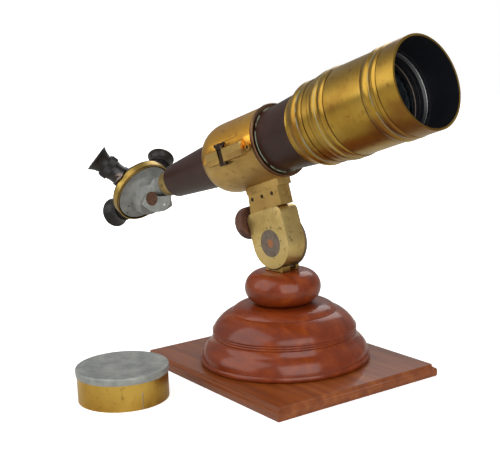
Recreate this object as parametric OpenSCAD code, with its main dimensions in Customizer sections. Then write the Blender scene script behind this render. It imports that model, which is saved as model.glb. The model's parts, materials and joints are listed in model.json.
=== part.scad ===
// Brass observation telescope with a rotating eyepiece turret, on a turned mahogany table stand.
// The origin is at the middle of the base plate's underside, on the upright axis of the stand.
// +Z is up and +X is the front of the plate. All sizes are in millimetres.

/* [Pose] */
// Turn of the head on the stand, to the left of the plate's front
pan = 7.5; // [-180:0.5:180]
// Elevation of the tube above the horizon
elevation = 17.3; // [-10:0.1:30]

/* [Stand] */
// Length of the base plate, front to back
plate_l = 268.2; // [230:1:340]
// Width of the base plate
plate_w = 218.2; // [205:1:300]
// Thickness of the base plate
plate_t = 13.6; // [11:0.2:24]
// Inset of the plate's top edge, the depth of the hollow moulding
plate_cove = 4.2; // [2:0.2:6]
// Height of the hollow moulding
cove_h = 4.6; // [3:0.2:8]
// Radius of the pedestal's foot bead
foot_r = 97; // [92:0.5:104]
// Height of the foot bead
foot_h = 6.6; // [4:0.2:9]
// Radius of the beaded band round the pedestal
band_r = 82; // [76:0.5:88]
// Height of the double curve between the foot bead and the band
ogee_h = 23.8; // [16:0.2:32]
// Height of one bead of the band
bead_h = 2.7; // [1.5:0.1:4]
// Number of beads in the band
bead_n = 3; // [1:1:5]
// Radius at the top of the pedestal's dome
dome_r = 61; // [56:0.5:66]
// Height of the dome
dome_h = 18.4; // [12:0.2:26]
// Radius of the flat that carries the bun
crown_r = 46; // [38:0.5:50]
// Height of the crown above the dome
crown_h = 7.9; // [5:0.1:12]
// Largest radius of the bun
bun_r = 43.2; // [36:0.2:50]
// Height of the bun
bun_h = 38; // [26:0.5:46]

// Radius of the screws that hold the plate to the pedestal
screw_r = 2.4; // [1.5:0.1:3.5]
// Radius of the stand screws' heads
screw_head_r = 5; // [4:0.1:7]
// Thickness of the stand screws' heads
screw_head_t = 3; // [1.5:0.1:5]
// Length of the stand screws in the pedestal
screw_grip = 14; // [8:0.5:22]

/* [Azimuth bearing] */
// Radius of the upright spindle
spindle_r = 8; // [6:0.1:9]
// Wall of the bush round the spindle
bush_wall = 4; // [2.5:0.1:6]
// Radial running clearance of shafts in their bores
run_gap = 0.05; // [0.02:0.01:0.09]
// Height that the bush stands proud of the bun
bush_proud = 0.3; // [0.2:0.05:1]
// Thickness of the pedestal's wood under the bun
web_t = 12; // [8:0.5:20]
// Thickness of the bush's lower flange
bush_flange_t = 4; // [2:0.5:6]
// Thickness of the spindle's washer
washer_t = 2; // [1:0.2:4]
// Height of the spindle's nut
nut_h = 7; // [5:0.5:12]

/* [Worm drive] */
// Thickness of the foot block under its saddle
saddle_t = 1; // [0.7:0.1:8]
// Distance of the elevation axis behind the upright axis
axis_back = 3.8; // [0:0.1:6]
// Teeth of the worm wheel
wheel_teeth = 52; // [48:1:58]
// Pitch of the worm's thread
worm_pitch = 3; // [2.9:0.01:3.4]
// Pitch radius of the worm
worm_r = 5; // [4.6:0.1:5.4]
// Turns of thread on the worm
worm_turns = 8; // [6:1:9]
// Thickness of the worm wheel
wheel_t = 8; // [6:0.5:9]
// Play between the worm's thread and the wheel's teeth
mesh_play = 0.3; // [0.2:0.05:0.5]
// Radius of the worm's shaft
worm_shaft_r = 3; // [2:0.1:3.2]
// Radius of the elevation axle
axle_r = 4.7; // [3.5:0.1:5.5]
// Thickness of the stem that carries the wheel
stem_t = 9; // [6:0.5:9.5]
// Width of the stem
stem_w = 14; // [12:0.5:15]
// Size of the square foot block
foot_block_w = 27; // [24:0.5:32]
// Radius of the elevation knob
knob_r = 18.7; // [14:0.1:24]
// Thickness of the elevation knob
knob_t = 11; // [8:0.5:16]
// Space between the knob and the housing
knob_gap = 0.7; // [0.4:0.1:3]

/* [Housing] */
// Radial space round the worm wheel's teeth
wheel_room = 0.8; // [0.5:0.1:3]
// Wall over the worm
top_wall = 1.9; // [1.5:0.1:8]
// Width of the housing across the elevation axis
house_w = 26.2; // [24.6:0.2:34]
// Distance from the middle of the stand to the housing's near side
house_near = 13.5; // [13:0.1:15]
// Radius of the housing's top corners
house_corner = 8; // [3:0.5:9]
// Wall round the worm wheel
rim_wall = 2.4; // [2:0.1:5]
// Wall on the near side
near_wall = 2.8; // [2.2:0.1:3.2]
// Radius of the near bearing disc
disc_r = 15.7; // [11:0.1:18]
// Thickness of the far end plate
end_plate_t = 2.6; // [2:0.1:5]
// How far the end plate reaches past the housing's round end
end_plate_lip = 1; // [0.4:0.1:1.8]
// Lowest elevation that the stem's slot allows
elevation_low = -10; // [-12:1:0]
// Highest elevation that the stem's slot allows
elevation_high = 30; // [20:1:32]

/* [Shoe] */
// Width of the shoe across the tube
shoe_w = 18.6; // [17:0.2:22]
// Height of the shoe
shoe_h = 21.3; // [18:0.1:28]
// Length of the shoe at its underside
shoe_l = 53.2; // [44:0.2:56]
// Distance of the shoe's rear lower corner behind the elevation axis
shoe_back = 20.4; // [18:0.2:24]
// Lean of the shoe's rear end towards its top
shoe_lean = 3; // [0:0.2:6]
// Width of the tongue in the shoe's groove
tongue_w = 8.6; // [6:0.2:10]
// Depth of the tongue
tongue_h = 12.6; // [9:0.2:14]
// Height of the ledge between the shoe and the collar
ledge_h = 6.6; // [4:0.1:12]
// How far the ledge stands out over the shoe
ledge_out = 0.8; // [0:0.1:2]

/* [Collar] */
// Distance of the tube's axis to the near side of the stand's middle
tube_off = 4.3; // [3.8:0.1:5]
// Outer radius of the collar
collar_r = 41.2; // [40.6:0.1:44]
// Length of the collar
collar_l = 98; // [90:0.5:110]
// Distance of the collar's rear end behind the elevation axis
collar_back = 54.2; // [48:0.2:60]
// Length of the rounded rear end
collar_nose = 25; // [12:0.5:30]
// Thickness of the cork liner
liner_t = 1.2; // [0.8:0.1:2]
// Depth of the parting plane below the tube's axis
split_drop = 2; // [0:0.2:4]
// Distance from the tube's axis to the lugs' outer faces
lug_reach = 48; // [46.5:0.1:52]
// Thickness of the upper lug
lug_up = 8; // [5:0.2:12]
// Thickness of the lower lug
lug_down = 6.5; // [5:0.1:9]
// Length of the lugs
lug_l = 62; // [50:0.5:70]
// Distance of the lugs' rear end behind the elevation axis
lug_back = 29.2; // [24:0.2:36]
// Width of the open slots for the clamp bolts
lug_slot = 8; // [7:0.2:12]
// Radius of the clamp bolts
bolt_r = 3; // [2:0.1:3.2]
// Radius of the clamp nuts
wing_r = 6; // [4.5:0.1:6.4]
// Height of the clamp nuts
wing_h = 6; // [4:0.2:9]
// Radius of the ring that stops the tube in the collar
stop_ring_r = 42; // [41:0.1:44]
// Length of the stop ring
stop_ring_l = 4; // [3:0.1:8]

/* [Tube] */
// Length of the tapered tube
tube_l = 250; // [225:1:280]
// Outer radius of the tube's wide front end
tube_front_r = 40; // [39.6:0.05:40.4]
// Outer radius of the tube's narrow rear end
tube_rear_r = 20.6; // [20:0.1:22]
// Wall of the tube
tube_wall = 1.5; // [1:0.1:2.2]
// Length of the tube behind the collar
tube_tail = 96; // [70:0.5:110]
// Inner radius of the baffle in the tube
baffle_r = 18; // [14:0.2:20]
// Radius of the ferrule between the tube and the prism casting
ferrule_r = 15.2; // [14:0.1:16]
// Wall of the ferrule
ferrule_wall = 2; // [1.5:0.1:3]
// Bare length of the ferrule
ferrule_l = 19.3; // [14:0.1:30]

/* [Objective head] */
// Outer radius of the barrel that holds the objective
barrel_r = 45.4; // [44:0.1:45.6]
// Wall of the barrel
barrel_wall = 1.7; // [1.2:0.1:2.2]
// Length of the barrel in front of the head ring
barrel_l = 92; // [80:0.5:100]
// Radius of the head ring's rolled flange
flange_r = 46.2; // [45.8:0.1:48]
// Length of the rolled flange
flange_l = 19; // [12:0.5:26]
// Length of the hollow curve from the tube up to the flange
neck_l = 13; // [8:0.5:20]
// Bare length of the barrel behind the sunshade
shade_gap = 9; // [6:0.5:16]
// Length of the sunshade
shade_l = 119; // [110:0.5:140]
// Outer radius of the sunshade's mouth
mouth_r = 47.8; // [47.4:0.1:49]
// Radius of the sunshade between its beads
shade_r = 47.2; // [46.8:0.1:47.4]
// Radius of the sunshade's beads
bead_r = 48.5; // [47.9:0.1:49.5]
// Length of the plain mouth in front of the first beads
mouth_l = 22; // [14:0.5:30]
// Length of one raised bead
shade_bead_l = 10.5; // [6:0.5:12]
// Length of the plain band between the two pairs of beads
shade_mid_l = 51; // [40:0.5:60]
// Radial clearance of the sunshade on the barrel
shade_gap_r = 0.06; // [0.03:0.01:0.09]

/* [Objective] */
// Distance of the cell's rim behind the barrel's front end
cell_set = 3; // [1:0.5:8]
// Length of the cell
cell_l = 31; // [27:0.5:40]
// Wall of the cell round the lenses
cell_wall = 2.7; // [2:0.1:4]
// Thickness of the cell's rear lip
cell_lip_t = 2; // [1.5:0.1:4]
// Width of the cell's rear lip
cell_lip = 2.2; // [1.5:0.1:4]
// Edge thickness of the crown lens
crown_edge = 5; // [4:0.5:7]
// Centre thickness of the flint lens
flint_mid = 4; // [3:0.5:6]
// Radius of curvature of the crown lens's front
crown_front_curve = 300; // [220:5:500]
// Radius of curvature of the surface between the two lenses
inner_curve = 260; // [200:5:400]
// Length of the ring that holds the lenses
retainer_l = 3; // [2:0.5:6]

/* [Turret] */
// Distance of the turret's centre behind the tube's rear end
turret_back = 72; // [68:0.5:78]
// Outer radius of the turret's brass band
turret_r = 41.5; // [40.5:0.1:44]
// Depth of the brass band
turret_band_l = 12; // [9:0.2:16]
// Wall of the brass band
turret_wall = 1.5; // [1:0.1:2.2]
// Gap between the band and the casting's disc
disc_gap = 2; // [1:0.1:3]
// Thickness of the casting's disc
disc_t = 4; // [3:0.1:5]
// Wall of the turret's conical shell
shell_wall = 3; // [2:0.1:4]
// Radius of the turret's pivot
pivot_r = 4; // [3:0.1:5]
// Radius of the pivot's head
pivot_head_r = 8; // [6:0.1:10]
// Depth of the crossing point of the eyepieces' axes below the band's front
cross_depth = 14.2; // [12:0.1:15]
// Width of the prism
prism_w = 14; // [10:0.5:16]

/* [Eyepieces] */
// Radius of the eyepieces' spigots in the turret
spigot_r = 10; // [8:0.1:11]
// Radius of the eyepieces' necks
neck_r = 12.5; // [11.6:0.1:13]
// Radius of the sleeve that the focusing ring turns on
sleeve_r = 10.5; // [9:0.1:10.8]
// Height of the long eyepiece, from its seat to its rim
long_h = 39.6; // [36:0.2:50]
// Height of the short eyepiece, from its seat to its rim
short_h = 25; // [23:0.2:34]
// Height of the eyepiece in use, from its seat to its rim
main_h = 40.5; // [36:0.2:50]
// Radius of the long eyepiece's cup
long_cup_r = 17.7; // [16:0.1:20]
// Radius of the short eyepiece's cup
short_cup_r = 17.7; // [16:0.1:20]
// Radius of the cup of the eyepiece in use
main_cup_r = 19.5; // [17:0.1:22]
// Length of the long eyepiece's cup
long_cup_l = 11.7; // [9:0.1:14]
// Length of the short eyepiece's cup
short_cup_l = 9; // [7:0.1:11]
// Length of the cup of the eyepiece in use
main_cup_l = 12; // [9:0.1:14]
// Length of the long eyepiece's focusing ring
long_ring_l = 14.6; // [8:0.1:16]
// Length of the short eyepiece's focusing ring
short_ring_l = 7; // [5:0.1:8]
// Length of the focusing ring of the eyepiece in use
main_ring_l = 13; // [8:0.1:16]
// Radius of the focusing rings at the cup's end
ring_r = 15.2; // [14.6:0.1:16]
// Radius of the eye lenses
eye_lens_r = 6; // [4:0.1:7]

/* [Cap] */
// Distance of the cap in front of the stand's middle
cap_x = -37.5; // [-60:0.5:60]
// Distance of the cap to the left of the stand's middle
cap_y = -189.8; // [-230:0.5:-180]
// Overall height of the cap
cap_h = 36.4; // [26:0.2:50]
// Height of the lid's rim
lid_h = 8; // [5:0.2:12]
// Radius of the lid
lid_r = 50.2; // [49.6:0.1:54]
// Wall of the skirt
skirt_wall = 0.9; // [0.6:0.1:1.2]
// Radial clearance of the skirt on the sunshade's mouth
cap_fit = 0.3; // [0.1:0.05:0.6]
// Length of the slit in the skirt
slit_l = 17; // [8:0.5:22]

/* [Hidden] */
$fn = 96;
// a small overlap that keeps a cut from ending on a face
cut = 1;

// heights of the stand
band_h = bead_n * bead_h;
pedestal_h = foot_h + ogee_h + band_h + dome_h + crown_h;
pedestal_z = plate_t + pedestal_h;
bun_z = pedestal_z + bun_h;
foot_z = bun_z + bush_proud;
bush_r = spindle_r + bush_wall;
hollow_r = bush_r + 4;
hollow_z = pedestal_z - web_t;

// the worm drive
wheel_r = wheel_teeth * worm_pitch / (2 * PI);
gear_module = worm_pitch / PI;
worm_tip_r = worm_r + gear_module;
worm_root_r = worm_r - 1.25 * gear_module;
worm_rise = wheel_r + worm_r;
chamber_r = wheel_r + gear_module + wheel_room;
house_r = chamber_r + rim_wall;
worm_room_r = worm_tip_r + 0.6;
house_top = worm_rise + worm_room_r + top_wall;
bush_front_r = worm_shaft_r + 2;
bush_rear_r = worm_tip_r + 1.2;
worm_room_l = worm_turns * worm_pitch + 12;
worm_l = worm_turns * worm_pitch;
wheel_near = -tube_off - wheel_t / 2;
stem_near = tube_off - wheel_t / 2;
wheel_screw_r = 1.6;
wheel_head_r = 2.7;
wheel_head_t = 2;
wheel_screw_end = 4;
house_far = house_w - house_near;
end_plate_r = house_r + end_plate_lip;
saddle_r = end_plate_r + 0.5;
axis_rise = saddle_r + saddle_t;
axis_z = foot_z + axis_rise;
plate_screw_ring = (chamber_r + house_r) / 2;
plate_screw_r = 0.8;

// the collar, the tube and the head, along the tube from the elevation axis
shoe_z = house_top + shoe_h;
tube_rise = shoe_z + ledge_h + collar_r;
bolt_ease = 0.5;
boss_r = 4.4;
boss_x = lug_l - lug_back + 6;
boss_out = 2.5;
lock_screw_r = 2;
lock_screw_l = 5;
shoe_screw_r = 1.5;
shoe_screw_end = -tube_off - tongue_w / 2 + 2.5;
liner_ease = 0.03;
spigot_step = 0.8;
head_spigot_l = 10;
collar_x0 = -collar_back;
collar_x1 = collar_x0 + collar_l;
tube_x0 = collar_x0 - tube_tail;
tube_x1 = tube_x0 + tube_l;
taper = (tube_front_r - tube_rear_r) / tube_l;
barrel_x0 = tube_x1 + neck_l + flange_l;
barrel_x1 = barrel_x0 + barrel_l;
shade_x0 = barrel_x0 + shade_gap;
mouth_x = shade_x0 + shade_l;
cell_x1 = barrel_x1 - cell_set;
cell_x0 = cell_x1 - cell_l;
cell_r = barrel_r - barrel_wall;
lens_r = cell_r - cell_wall;
lens_x0 = cell_x0 + cell_lip_t;
shade_bore = barrel_r + shade_gap_r;
tail_spigot_r = tube_rear_r - tube_wall;

// the turret: its axis leans back by half a right angle, so each eyepiece in turn lines up with the tube
turret_tilt = 45;
turret_x = tube_x0 - turret_back;
socket_x = tube_x0 - ferrule_l;
disc_r_in = turret_r - turret_wall - disc_gap;
disc_top = 1 + disc_t;
// the shell's cone stands square to the eyepieces, and their seats stand a little proud of it
seat_proud = 0.8;
seat = (turret_r + turret_band_l + cross_depth) * sin(turret_tilt) + seat_proud;
shell_top = turret_band_l + turret_r - 15;
eye_angle = [-60, 60, 180];
eye_h = [long_h - seat_proud, short_h - seat_proud, main_h - seat_proud];
cup_r = [long_cup_r, short_cup_r, main_cup_r];
cup_l = [long_cup_l, short_cup_l, main_cup_l];
ring_l = [long_ring_l, short_ring_l, main_ring_l];

function tube_r(x) = tube_rear_r + taper * (x - tube_x0);

// points of a circular arc from p to q that bulges by sag to the right of the way from p to q
function bow(p, q, sag, n = 8) =
    let(d = q - p,
        c = norm(d),
        side = [d[1], -d[0]] / c,
        r = (c * c / 4 + sag * sag) / (2 * sag),
        mid = (p + q) / 2 + side * (sag - r),
        a = atan2(p[1] - mid[1], p[0] - mid[0]),
        sweep = sign(sag) * 2 * asin(min(1, c / (2 * abs(r)))))
    [for (i = [0:n]) mid + abs(r) * [cos(a + sweep * i / n), sin(a + sweep * i / n)]];

// frames: the head turns on the stand, the tilting parts turn on the head
module in_head() {
    rotate([0, 0, pan]) children();
}

module on_axis() {
    in_head() translate([-axis_back, 0, axis_z]) children();
}

module in_tilt() {
    on_axis() rotate([0, -elevation, 0]) children();
}

// the tube's own frame: z runs forward along the tube's axis from above the elevation axis
module in_tube() {
    in_tilt() translate([0, -tube_off, tube_rise]) rotate([0, 90, 0]) children();
}

module in_turret() {
    in_tilt() translate([turret_x, -tube_off, tube_rise]) rotate([0, -turret_tilt, 0]) children();
}

// the frame of one eyepiece: z runs out along its axis, and 0 is its seat on the turret
module in_eyepiece(k) {
    in_turret() translate([0, 0, -cross_depth]) rotate([0, 0, eye_angle[k]]) rotate([0, turret_tilt, 0])
        translate([0, 0, seat]) children();
}

// a cylinder across the head, from y0 to y1
module across(r, y0, y1) {
    translate([0, y0, 0]) rotate([-90, 0, 0]) cylinder(r = r, h = y1 - y0);
}

// a cylinder along the tube, from x0 to x1
module along(r, x0, x1) {
    translate([x0, 0, 0]) rotate([0, 90, 0]) cylinder(r = r, h = x1 - x0);
}

// a ring or tube about z
module tube_piece(ro, ri, z0, z1) {
    difference() {
        translate([0, 0, z0]) cylinder(r = ro, h = z1 - z0);
        translate([0, 0, z0 - cut]) cylinder(r = ri, h = z1 - z0 + 2 * cut);
    }
}

// a hollow cone about z
module cone_piece(z0, z1, ro0, ro1, ri0, ri1) {
    slope = cut * (ri1 - ri0) / (z1 - z0);
    difference() {
        translate([0, 0, z0]) cylinder(r1 = ro0, r2 = ro1, h = z1 - z0);
        translate([0, 0, z0 - cut]) cylinder(r1 = ri0 - slope, r2 = ri1 + slope, h = z1 - z0 + 2 * cut);
    }
}

// a knurled rim: a ridged outline raised along z
module knurl(r, depth, n, h) {
    linear_extrude(height = h)
        polygon([for (i = [0:2 * n - 1]) (r - (i % 2) * depth) * [cos(180 * i / n), sin(180 * i / n)]]);
}

// the plate's moulded edge, as a bar of the given half width and length
module moulded_bar(half, l) {
    top = half - plate_cove;
    shelf = plate_t - cove_h;
    right = concat([[half - 1, 0]], bow([half - 0.6, 0.4], [half - 0.6, shelf], 0.6, 6),
        bow([half - 1.4, shelf], [top, plate_t], -1, 6));
    left = [for (i = [len(right) - 1:-1:0]) [-right[i][0], right[i][1]]];
    translate([0, l / 2, 0]) rotate([90, 0, 0]) linear_extrude(height = l) polygon(concat(right, left));
}

module base_plate() {
    color("saddlebrown") difference() {
        intersection() {
            moulded_bar(plate_l / 2, plate_w + 2 * cut);
            rotate([0, 0, 90]) moulded_bar(plate_w / 2, plate_l + 2 * cut);
        }
        translate([0, 0, -cut]) cylinder(r = hollow_r, h = plate_t + 2 * cut);
        screw_places() stand_screw(0, -cut);
    }
}

module screw_places() {
    for (a = [30:60:330]) rotate([0, 0, a]) translate([foot_r - 27, 0, 0]) children();
}

// a stand screw, or its hole: a shank and a sunk head that start at z0, thinner by the gap
module stand_screw(gap, z0) {
    translate([0, 0, z0]) cylinder(r = screw_r - gap, h = plate_t + screw_grip - z0);
    translate([0, 0, z0]) cylinder(r = screw_head_r - gap, h = screw_head_t - z0);
}

module stand_screws() {
    color("darkkhaki") screw_places() stand_screw(0.1, 0.6);
}

module pedestal() {
    z1 = foot_h + ogee_h;
    z2 = z1 + band_h;
    z3 = z2 + dome_h;
    waist = [(foot_r + band_r) / 2 - 2.4, foot_h + ogee_h * 0.66];
    outline = concat([[hollow_r, 0]],
        bow([foot_r - 1.5, 0.4], [foot_r - 1.5, foot_h], 1.5),
        bow([foot_r - 1.8, foot_h], waist, 1.8, 12),
        bow(waist, [band_r, z1], -0.9, 8),
        [for (i = [0:bead_n - 1]) for (p = bow([band_r - 0.6, z1 + i * bead_h + 0.15],
            [band_r - 0.6, z1 + (i + 1) * bead_h - 0.15], 0.6, 6)) p],
        bow([band_r - 0.8, z2], [dome_r, z3], 2.4, 14),
        bow([dome_r - 1, z3], [dome_r - 1, z3 + 0.8], 0.2, 4),
        bow([dome_r - 1.4, z3 + 0.8], [crown_r, pedestal_h], 1.5, 8),
        [[hollow_r, pedestal_h]]);
    color("sienna") difference() {
        translate([0, 0, plate_t]) union() {
            rotate_extrude() polygon(outline);
            translate([0, 0, pedestal_h - web_t]) cylinder(r = hollow_r + cut, h = web_t);
        }
        translate([0, 0, hollow_z - cut]) cylinder(r = bush_r, h = web_t + 2 * cut);
        screw_places() stand_screw(0, -cut);
    }
}

module bun() {
    r = bun_r - bun_h / 2;
    color("sienna") translate([0, 0, pedestal_z]) difference() {
        rotate_extrude()
            polygon(concat([[bush_r, 0]], bow([r, 0], [r, bun_h], bun_h / 2, 32), [[bush_r, bun_h]]));
        translate([0, 0, -cut]) cylinder(r = bush_r, h = bun_h + 2 * cut);
    }
}

module azimuth_bush() {
    color("goldenrod") difference() {
        union() {
            translate([0, 0, hollow_z - cut]) cylinder(r = bush_r, h = foot_z - hollow_z + cut);
            translate([0, 0, hollow_z - bush_flange_t]) cylinder(r = hollow_r - 0.5, h = bush_flange_t);
        }
        translate([0, 0, hollow_z - bush_flange_t - cut])
            cylinder(r = spindle_r + run_gap, h = foot_z - hollow_z + bush_flange_t + 2 * cut);
    }
}

module spindle_washer() {
    z = hollow_z - bush_flange_t - washer_t;
    color("silver") in_head() tube_piece(bush_r, spindle_r, z, z + washer_t);
}

module spindle_nut() {
    z = hollow_z - bush_flange_t - washer_t - nut_h;
    color("silver") in_head() difference() {
        translate([0, 0, z]) cylinder(r = bush_r, h = nut_h, $fn = 6);
        translate([0, 0, z - cut]) cylinder(r = spindle_r, h = nut_h + 2 * cut);
    }
}

// the square block under the housing: a saddle round the end plate, with a slot for the stem
module foot_block() {
    w = foot_block_w;
    color("peru") in_head() difference() {
        translate([-w / 2, -w / 2, foot_z]) cube([w, w, axis_rise - saddle_r + w / 4]);
        translate([-axis_back, 0, axis_z]) across(saddle_r, -w, w);
        translate([-axis_back - stem_w / 2, -stem_near, foot_z - cut]) cube([w, stem_t, axis_rise]);
    }
}

// the spindle and the stem that carries the wheel, one forging
module head_stem() {
    bottom = hollow_z - bush_flange_t - washer_t - nut_h - 1;
    color("darkgoldenrod") in_head() difference() {
        union() {
            translate([0, 0, bottom]) cylinder(r = spindle_r, h = foot_z - bottom);
            translate([-axis_back - stem_w / 2, -stem_near, foot_z]) cube([stem_w, stem_t, axis_rise]);
            translate([-axis_back, 0, axis_z]) across(stem_w / 2, -stem_near, stem_t - stem_near);
        }
        translate([-axis_back, 0, axis_z]) {
            across(axle_r, -stem_near - cut, stem_t - stem_near + cut);
            wheel_screw_places() across(wheel_screw_r, -stem_near - cut, wheel_screw_end);
        }
    }
}

module wheel_screw_places() {
    for (drop = [0.42, 0.76]) translate([0, 0, -drop * wheel_r]) children();
}

// the wheel's toothed outline, with straight-sided teeth
function wheel_points() =
    let(half = 90 / wheel_teeth,
        play = mesh_play / wheel_r * 90 / PI,
        lean = tan(20) * gear_module / wheel_r * 180 / PI,
        root = wheel_r - 1.25 * gear_module,
        tip = wheel_r + gear_module)
    [for (i = [0:wheel_teeth - 1]) for (e = [[root, -half + play - 1.25 * lean], [tip, -half + play + lean],
        [tip, half - play - lean], [root, half - play + 1.25 * lean]])
        let(a = -90 + (i + 0.5) * 360 / wheel_teeth + e[1]) e[0] * [cos(a), sin(a)]];

// the teeth lean with the worm's thread, so the outline turns a little through the wheel
module worm_wheel() {
    lead = atan(worm_pitch / (2 * PI * worm_r));
    turn = wheel_t * tan(lead) / wheel_r * 180 / PI;
    color("darkgoldenrod") on_axis() difference() {
        translate([0, -tube_off - wheel_t / 2, 0]) rotate([-90, 0, 0]) rotate([0, 0, -turn / 2])
            linear_extrude(height = wheel_t, twist = -turn, slices = 2) polygon(wheel_points());
        across(axle_r, -tube_off - wheel_t, wheel_t);
        wheel_screw_places() {
            across(wheel_screw_r, -tube_off - wheel_t, wheel_t);
            across(wheel_head_r + 0.1, -tube_off - wheel_t, wheel_near + wheel_head_t);
        }
    }
}

module wheel_screws() {
    color("gray") on_axis() wheel_screw_places() {
        across(wheel_screw_r, wheel_near + 0.5, wheel_screw_end);
        across(wheel_head_r, wheel_near + 0.5, wheel_near + wheel_head_t);
    }
}

module elevation_axle() {
    color("chocolate") on_axis() across(axle_r, -house_near, house_far + end_plate_t);
}

// the housing's outline as a solid: a round end on the axis, straight sides and rounded top corners
module d_block(y0, y1) {
    w = 2 * house_r;
    across(house_r, y0, y1);
    translate([-house_r, y0, 0]) cube([w, y1 - y0, house_top - house_corner]);
    translate([house_corner - house_r, y0, 0]) cube([w - 2 * house_corner, y1 - y0, house_top]);
    for (s = [-1, 1]) translate([s * (house_r - house_corner), 0, house_top - house_corner])
        across(house_corner, y0, y1);
}

// a wedge of the slot, from the angle a to the angle b off straight down, towards the front
module slot_wedge(a, b) {
    steps = 6;
    reach = house_r + 8;
    rotate([90, 0, 0]) linear_extrude(height = stem_t + 0.8)
        polygon(concat([[0, 0]],
            [for (i = [0:steps]) let(t = a + (b - a) * i / steps) reach * [sin(t), -cos(t)]]));
}

// the stem leans back in the housing as the tube rises
module worm_housing() {
    half = asin((stem_w / 2 + 0.3) / chamber_r);
    color("darkkhaki") in_tilt() difference() {
        d_block(-house_near, house_far);
        across(chamber_r, -house_near + near_wall, house_far + cut);
        across(disc_r, -house_near - cut, 0);
        translate([0, stem_t - stem_near + 0.4, 0]) slot_wedge(-elevation_high - half, half - elevation_low);
        translate([0, -tube_off, worm_rise]) {
            along(worm_room_r, -worm_room_l / 2, worm_room_l / 2);
            along(bush_rear_r, -house_r - cut, -worm_room_l / 2 + cut);
            along(bush_front_r, worm_room_l / 2 - cut, house_r - 2.5);
        }
        for (t = [0:90:270]) rotate([0, t, 0]) translate([disc_r + 1.6, 0, 0])
            across(0.9, -house_near - cut, -house_near + 1.2);
        end_screw_places() across(plate_screw_r, house_far - 3.2, house_far + cut);
    }
}

module bearing_disc() {
    color("slategray") in_tilt() difference() {
        across(disc_r, -house_near, -house_near + near_wall);
        across(axle_r + run_gap, -house_near - cut, 0);
    }
}

module end_plate() {
    color("dimgray") in_tilt() difference() {
        across(end_plate_r, house_far, house_far + end_plate_t);
        across(axle_r + run_gap, house_far - cut, house_far + end_plate_t + cut);
        end_screw_places() across(plate_screw_r, house_far - cut, house_far + end_plate_t + cut);
    }
}

module end_screw_places() {
    for (t = [45:90:315]) rotate([0, t, 0]) translate([plate_screw_ring, 0, 0]) children();
}

module end_plate_screws() {
    color("silver") in_tilt() end_screw_places() across(plate_screw_r, house_far - 3, house_far + end_plate_t);
}

module worm_bush_rear() {
    color("goldenrod") in_tilt() translate([0, -tube_off, worm_rise]) difference() {
        along(bush_rear_r, -house_r, -worm_room_l / 2);
        along(worm_shaft_r + run_gap, -house_r - cut, 0);
    }
}

module worm_bush_front() {
    color("goldenrod") in_tilt() translate([0, -tube_off, worm_rise]) difference() {
        along(bush_front_r, worm_room_l / 2, house_r - 2.5);
        along(worm_shaft_r + run_gap, 0, house_r);
    }
}

// one strand of thread from end to end, its foot sunk in the core
module thread() {
    seg = 24;
    n = worm_turns * seg;
    foot = worm_root_r - 0.3;
    half = worm_pitch / 4;
    slope = tan(20);
    tip_half = half - gear_module * slope;
    foot_half = half + (worm_r - foot) * slope;
    section = [[foot, -foot_half], [worm_tip_r, -tip_half], [worm_tip_r, tip_half], [foot, foot_half]];
    points = [for (i = [0:n]) for (q = section)
        let(a = 360 * i / seg - 180 * worm_turns) [q[0] * cos(a), q[0] * sin(a), q[1] + worm_pitch * a / 360]];
    sides = [for (i = [0:n - 1]) for (j = [0:3])
        let(a = 4 * i + j, b = 4 * i + (j + 1) % 4) for (f = [[a, b, b + 4], [a, b + 4, a + 4]]) f];
    polyhedron(points, concat(sides, [[3, 2, 1, 0], [4 * n, 4 * n + 1, 4 * n + 2, 4 * n + 3]]));
}

// the worm stands so that its thread meets the wheel's teeth at any elevation
module in_worm() {
    in_tilt() translate([0, -tube_off, worm_rise]) rotate([0, 90, 0]) rotate([0, 0, -wheel_teeth * elevation])
        children();
}

module worm() {
    rear = -house_r - knob_gap - knob_t;
    front = house_r - 2.8;
    core_l = worm_room_l - 0.6;
    color("silver") in_worm() {
        thread();
        translate([0, 0, -core_l / 2]) cylinder(r = worm_root_r, h = core_l);
        translate([0, 0, rear]) cylinder(r = worm_shaft_r, h = front - rear);
    }
}

// a ridged rim between two dished faces
module elevation_knob() {
    z = -house_r - knob_gap - knob_t;
    dish_r = knob_r - 3.5;
    color("rosybrown") in_worm() translate([0, 0, z]) difference() {
        knurl(knob_r, 0.6, 54, knob_t);
        translate([0, 0, -cut]) cylinder(r = worm_shaft_r, h = knob_t + 2 * cut);
        translate([0, 0, knob_t - 2]) tube_piece(dish_r, worm_shaft_r + 3, 0, 3);
        translate([0, 0, -cut]) tube_piece(dish_r, worm_shaft_r + 3, 0, 3);
    }
}

// the block between the housing and the collar, with the groove for the collar's tongue
module shoe() {
    y = -house_near;
    outline = [[-shoe_back, house_top], [shoe_l - shoe_back, house_top], [shoe_l - shoe_back + 0.6, shoe_z],
        [shoe_lean - shoe_back, shoe_z]];
    color("darkkhaki") in_tilt() difference() {
        translate([0, y + shoe_w, 0]) rotate([90, 0, 0]) linear_extrude(height = shoe_w) polygon(outline);
        tongue(tongue_w, tongue_h, -shoe_back - cut, shoe_l + cut);
        shoe_screw_places() {
            across(shoe_screw_r, y - cut, -tube_off);
            across(shoe_screw_r + 0.9, y - cut, y + 1.5);
        }
    }
}

// a U-shaped bar under the ledge, along the shoe's groove
module tongue(w, h, x0, x1) {
    translate([0, -tube_off, shoe_z]) {
        translate([x0, -w / 2, w / 2 - h]) cube([x1 - x0, w, h - w / 2]);
        translate([0, 0, w / 2 - h]) along(w / 2, x0, x1);
    }
}

module shoe_screw_places() {
    for (x = [0.14, 0.46, 0.78]) translate([x * shoe_l - shoe_back + 1, 0, shoe_z - tongue_h / 2]) children();
}

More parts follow.
